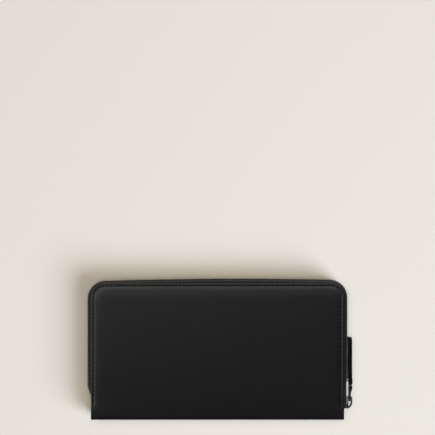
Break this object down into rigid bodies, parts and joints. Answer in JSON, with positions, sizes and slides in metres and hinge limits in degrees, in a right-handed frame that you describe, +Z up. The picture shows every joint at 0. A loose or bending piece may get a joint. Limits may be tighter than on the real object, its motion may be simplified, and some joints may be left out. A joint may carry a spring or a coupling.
{
  "type": "long wallet",
  "caption": "Slim zip-around long wallet in smooth black leather, with card pockets, a zipped coin pocket and a leather zip pull.",
  "frame": {"origin": "middle of the flat face of the back cover that the closed wallet lies on", "axes": "+X along the wallet's width, +Y from the spine to the zip mouth, +Z up through its thickness to the front cover"},
  "size_m": [0.1984, 0.1053, 0.024],
  "materials": {
    "cover_leather": "smooth semi-gloss",
    "inner_leather": "fine grain, satin",
    "lining": "plain woven",
    "board": "plain",
    "zip_tape": "woven tape",
    "zip_teeth": "black, satin",
    "thread": "waxed thread",
    "gunmetal": "polished gunmetal"
  },
  "bodies": {
    "back_cover": {"back_cover_leather": "cover_leather", "back_cover_stitching": "thread", "back_cover_board": "board", "back_cover_lining": "lining", "back_card_panel": "inner_leather", "back_card_pocket_1": "inner_leather", "back_card_pocket_2": "inner_leather", "back_card_pocket_3": "inner_leather", "back_card_pocket_4": "inner_leather", "back_zip_tape": "zip_tape", "back_zip_teeth": "zip_teeth", "back_zip_top_stop": "zip_teeth", "zip_bottom_stop": "zip_teeth"},
    "coin_pocket": {"spine_leather": "cover_leather", "spine_lining": "lining", "coin_pocket_bottom": "lining", "coin_pocket_left_side": "lining", "coin_pocket_right_side": "lining", "coin_zip_stops": "zip_teeth", "back_coin_pocket_wall": "lining", "back_coin_zip_tape": "zip_tape", "back_coin_zip_teeth": "zip_teeth", "back_right_gusset": "lining", "back_left_gusset": "lining", "front_coin_pocket_wall": "lining", "front_coin_zip_tape": "zip_tape", "front_coin_zip_teeth": "zip_teeth", "front_right_gusset": "lining", "front_left_gusset": "lining"},
    "front_cover": {"front_cover_leather": "cover_leather", "front_cover_stitching": "thread", "front_cover_board": "board", "front_cover_lining": "lining", "front_card_panel": "inner_leather", "front_card_pocket_1": "inner_leather", "front_card_pocket_2": "inner_leather", "front_card_pocket_3": "inner_leather", "front_card_pocket_4": "inner_leather", "front_zip_tape": "zip_tape", "front_zip_teeth": "zip_teeth", "front_zip_top_stop": "zip_teeth"},
    "main_slider": {"zip_slider": "gunmetal"},
    "main_pull_link": {"pull_link": "gunmetal"},
    "main_pull_tab": {"pull_tab": "cover_leather"},
    "coin_slider": {"coin_zip_slider": "gunmetal"},
    "coin_pull": {"coin_zip_pull": "gunmetal"}
  },
  "joints": [
    {"name": "back_fold", "type": "hinge", "parent": "back_cover", "child": "coin_pocket", "pos_m": [0, -0.0525, 0.003], "axis": [1, 0, 0], "range_deg": [0, 30], "deforming": ["back_right_gusset", "back_left_gusset"]},
    {"name": "front_fold", "type": "hinge", "parent": "coin_pocket", "child": "front_cover", "pos_m": [0, -0.0525, 0.021], "axis": [1, 0, 0], "range_deg": [0, 30], "deforming": ["front_right_gusset", "front_left_gusset"]},
    {"name": "zip_slider_travel", "type": "slide", "parent": "back_cover", "child": "main_slider", "axis": [0, 1, 0], "range_m": [0, 0.06], "deforming": ["back_zip_teeth", "front_zip_teeth"]},
    {"name": "pull_link_swing", "type": "hinge", "parent": "main_slider", "child": "main_pull_link", "pos_m": [0.09895, -0.0382, 0.012], "axis": [0, 0, -1], "range_deg": [0, 135]},
    {"name": "pull_tab_swing", "type": "hinge", "parent": "main_pull_link", "child": "main_pull_tab", "pos_m": [0.0996, -0.0283, 0.012], "axis": [0, 0, -1], "range_deg": [0, 45]},
    {"name": "coin_slider_travel", "type": "slide", "parent": "coin_pocket", "child": "coin_slider", "axis": [-1, 0, 0], "range_m": [0, 0.14], "deforming": ["back_coin_zip_teeth", "front_coin_zip_teeth"]},
    {"name": "coin_pull_swing", "type": "hinge", "parent": "coin_slider", "child": "coin_pull", "pos_m": [0.07, 0.0329, 0.012], "axis": [0, 0, -1], "range_deg": [0, 165]}
  ],
  "couplings": [
    {"joint": "front_fold", "follows": "back_fold", "ratio": 1}
  ]
}
